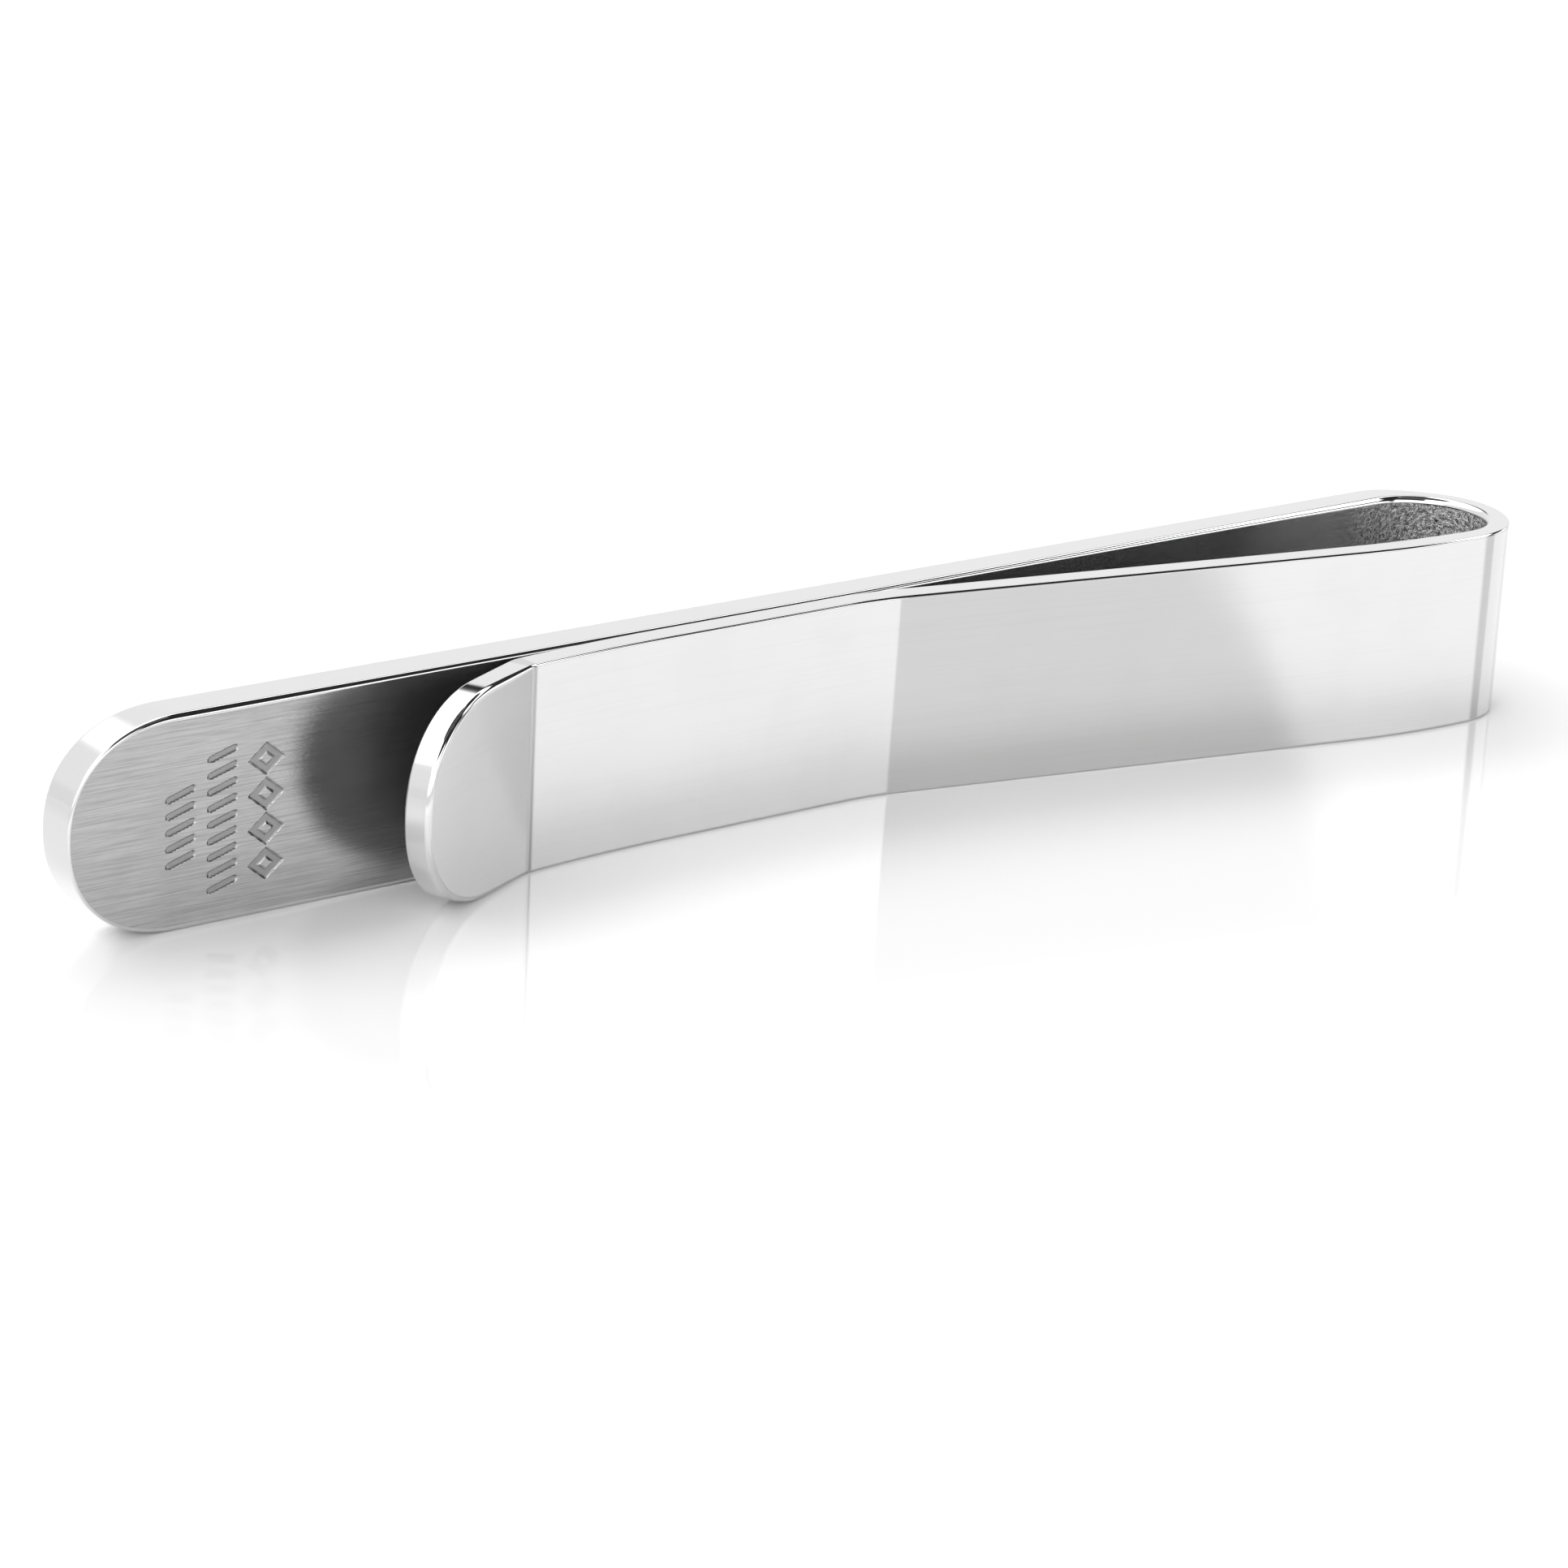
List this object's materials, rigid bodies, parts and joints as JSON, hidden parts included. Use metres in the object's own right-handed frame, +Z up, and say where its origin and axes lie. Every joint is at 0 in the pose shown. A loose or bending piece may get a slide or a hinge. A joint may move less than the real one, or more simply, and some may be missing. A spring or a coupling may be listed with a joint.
{
  "type": "tie clip",
  "caption": "Slide-on tie clip folded from one steel strip: a long thick bar with a rounded end, a tight bend and a thinner spring leaf with a flared lip.",
  "frame": {"origin": "under the middle of the clip's box, on the long edge that it stands on", "axes": "+X along the bar towards the bend, +Y from the spring leaf towards the bar, +Z up across the strip's width"},
  "size_m": [0.058, 0.0066, 0.0071],
  "materials": {
    "bar_steel": "stainless steel, mirror polished outside and on its edges, satin brushed along its length on the inner face",
    "spring_steel": "stainless steel, mirror polished outside and on its edges"
  },
  "bodies": {
    "bar_side": {"bar": "bar_steel", "spring_bend": "spring_steel"},
    "leaf_side": {"spring_leaf": "spring_steel", "lead_in_lip": "spring_steel"}
  },
  "joints": [
    {"name": "leaf_flex", "type": "hinge", "parent": "bar_side", "child": "leaf_side", "pos_m": [0.02193, -0.00265, 0.00355], "axis": [0, 0, 1], "range_deg": [0, 8], "stiffness_Nm_per_rad": 2.7, "springref_deg": -1.15, "deforming": ["spring_bend"]}
  ]
}
